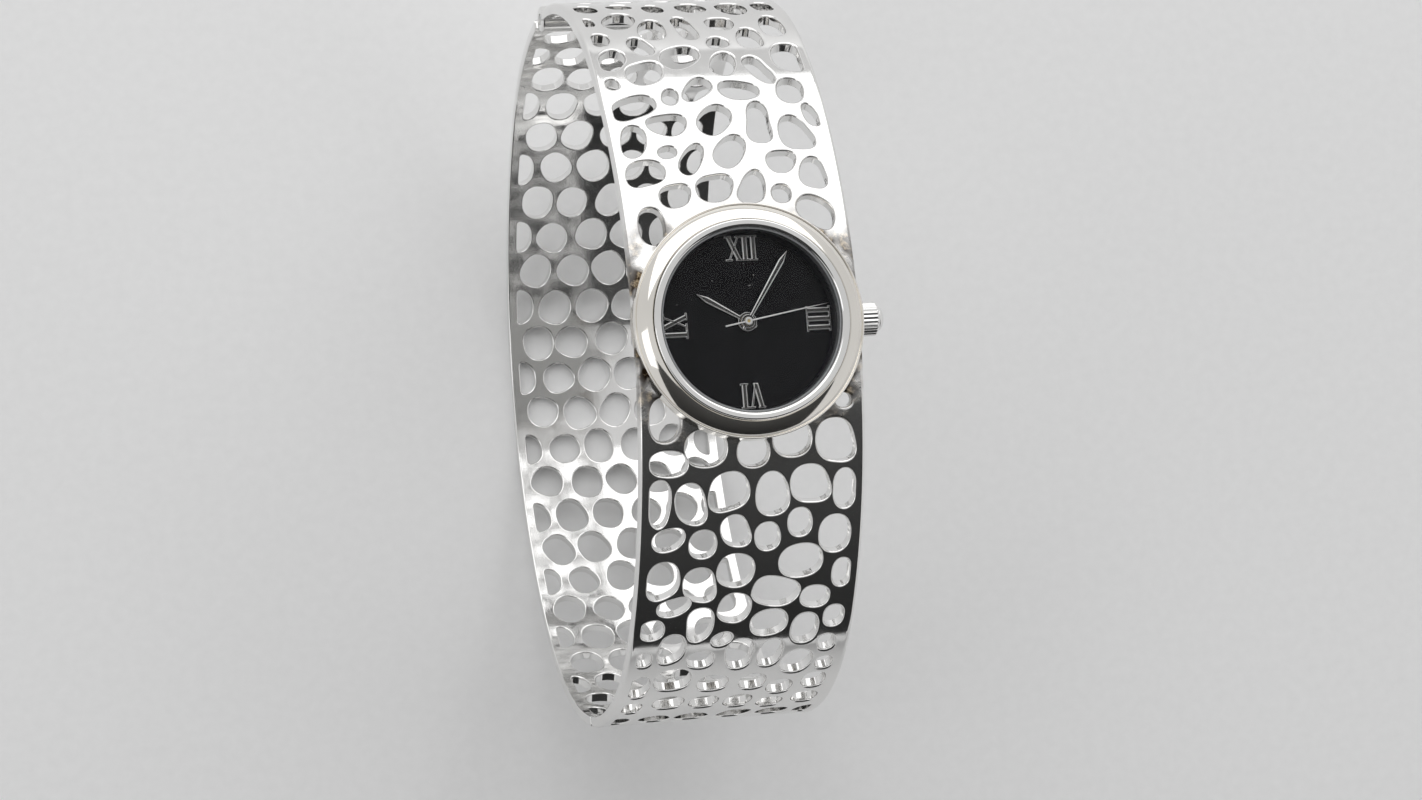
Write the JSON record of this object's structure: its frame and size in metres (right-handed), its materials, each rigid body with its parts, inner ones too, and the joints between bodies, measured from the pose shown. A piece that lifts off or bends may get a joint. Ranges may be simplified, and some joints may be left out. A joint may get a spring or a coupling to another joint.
{
  "type": "bangle watch",
  "caption": "Round wristwatch head with a black dial and Roman numerals, set in a rigid oval openwork metal bangle that opens on a hinge and closes on a clasp.",
  "frame": {"origin": "centre of the case back's outer face, on the dial's axis", "axes": "+Z out through the dial, +Y towards 12 o'clock along the bangle's long axis, +X towards 3 o'clock and the crown, across the wrist band's width"},
  "size_m": [0.0228, 0.0666, 0.0532],
  "materials": {
    "polished_steel": "polished stainless steel, silver tone",
    "satin_steel": "satin stainless steel",
    "brassy": "gilt brass",
    "black_enamel": "gloss black lacquer",
    "crystal_glass": "clear mineral glass",
    "grey_gasket": "grey nylon gasket",
    "black_rubber": "black nitrile rubber",
    "white_plastic": "white moulded plastic",
    "board": "green circuit board",
    "chip_resin": "black resin",
    "copper": "enamelled copper wire",
    "cell_steel": "nickel-plated cell can"
  },
  "bodies": {
    "watch": {"front_band": "polished_steel", "hinge_pin": "satin_steel", "clasp_box": "satin_steel", "case_body": "polished_steel", "bezel_ring": "polished_steel", "crystal": "crystal_glass", "crystal_gasket": "grey_gasket", "flange_ring": "black_enamel", "dial": "black_enamel", "numeral_twelve": "polished_steel", "numeral_three": "polished_steel", "numeral_six": "polished_steel", "numeral_nine": "polished_steel", "crown_tube": "satin_steel", "case_back": "satin_steel", "back_gasket": "black_rubber", "movement_ring": "white_plastic", "main_plate": "brassy", "train_bridge": "brassy", "circuit_board": "board", "control_chip": "chip_resin", "quartz_can": "satin_steel", "coil_winding": "copper", "coil_core": "satin_steel", "stator": "satin_steel", "battery": "cell_steel", "battery_clamp": "satin_steel", "battery_contact": "satin_steel", "movement_screws": "satin_steel"},
    "back_half": {"back_band": "polished_steel", "clasp_tongue": "satin_steel"},
    "crown_slide": {"crown_gasket": "black_rubber"},
    "crown": {"crown": "polished_steel", "stem": "satin_steel"},
    "setting_lever": {"setting_lever": "satin_steel"},
    "second_hand": {"second_hand": "polished_steel", "second_wheel": "brassy"},
    "minute_hand": {"minute_hand": "polished_steel", "centre_wheel": "brassy"},
    "hour_hand": {"hour_hand": "polished_steel", "hour_wheel": "brassy"},
    "third_wheel": {"third_wheel": "brassy"},
    "intermediate_wheel": {"intermediate_wheel": "brassy"},
    "rotor": {"rotor": "satin_steel"},
    "minute_wheel": {"minute_wheel": "brassy"},
    "setting_wheel": {"setting_wheel": "brassy"}
  },
  "joints": [
    {"name": "bangle_hinge", "type": "hinge", "parent": "watch", "child": "back_half", "pos_m": [0, 0.03242, -0.02292], "axis": [1, 0, 0], "range_deg": [0, 60]},
    {"name": "crown_pull", "type": "slide", "parent": "watch", "child": "crown_slide", "axis": [1, 0, 0], "range_m": [0, 0.0006]},
    {"name": "crown_turn", "type": "hinge", "parent": "crown_slide", "child": "crown", "pos_m": [0.011, 0, 0.00245], "axis": [1, 0, 0], "continuous": true},
    {"name": "setting_lever_swing", "type": "hinge", "parent": "watch", "child": "setting_lever", "pos_m": [0.00585, 0.0019, 0.00245], "axis": [0, 0, 1], "range_deg": [0, 21]},
    {"name": "second_hand_turn", "type": "hinge", "parent": "watch", "child": "second_hand", "pos_m": [0, 0, 0.005], "axis": [0, 0, -1], "continuous": true},
    {"name": "minute_hand_turn", "type": "hinge", "parent": "watch", "child": "minute_hand", "pos_m": [0, 0, 0.0049], "axis": [0, 0, -1], "continuous": true},
    {"name": "hour_hand_turn", "type": "hinge", "parent": "watch", "child": "hour_hand", "pos_m": [0, 0, 0.0047], "axis": [0, 0, -1], "continuous": true},
    {"name": "third_wheel_turn", "type": "hinge", "parent": "watch", "child": "third_wheel", "pos_m": [0.00152, -0.00055, 0.0023], "axis": [0, 0, -1], "continuous": true},
    {"name": "intermediate_wheel_turn", "type": "hinge", "parent": "watch", "child": "intermediate_wheel", "pos_m": [0.00057, 0.00158, 0.0016], "axis": [0, 0, -1], "continuous": true},
    {"name": "rotor_turn", "type": "hinge", "parent": "watch", "child": "rotor", "pos_m": [0.00141, 0.00303, 0.002], "axis": [0, 0, -1], "continuous": true},
    {"name": "minute_wheel_turn", "type": "hinge", "parent": "watch", "child": "minute_wheel", "pos_m": [0.00197, -0.00138, 0.0037], "axis": [0, 0, -1], "continuous": true},
    {"name": "setting_wheel_turn", "type": "hinge", "parent": "watch", "child": "setting_wheel", "pos_m": [0.0046, -0.00079, 0.0036], "axis": [0, 0, -1], "continuous": true}
  ],
  "couplings": [
    {"joint": "minute_hand_turn", "follows": "second_hand_turn", "ratio": 0.016667},
    {"joint": "hour_hand_turn", "follows": "second_hand_turn", "ratio": 0.0013889},
    {"joint": "third_wheel_turn", "follows": "second_hand_turn", "ratio": -0.13333},
    {"joint": "intermediate_wheel_turn", "follows": "second_hand_turn", "ratio": -5},
    {"joint": "rotor_turn", "follows": "second_hand_turn", "ratio": 30},
    {"joint": "minute_wheel_turn", "follows": "second_hand_turn", "ratio": -0.0055556},
    {"joint": "setting_wheel_turn", "follows": "second_hand_turn", "ratio": 0.011111},
    {"joint": "setting_lever_swing", "follows": "crown_pull", "rad_per_m": 600}
  ]
}
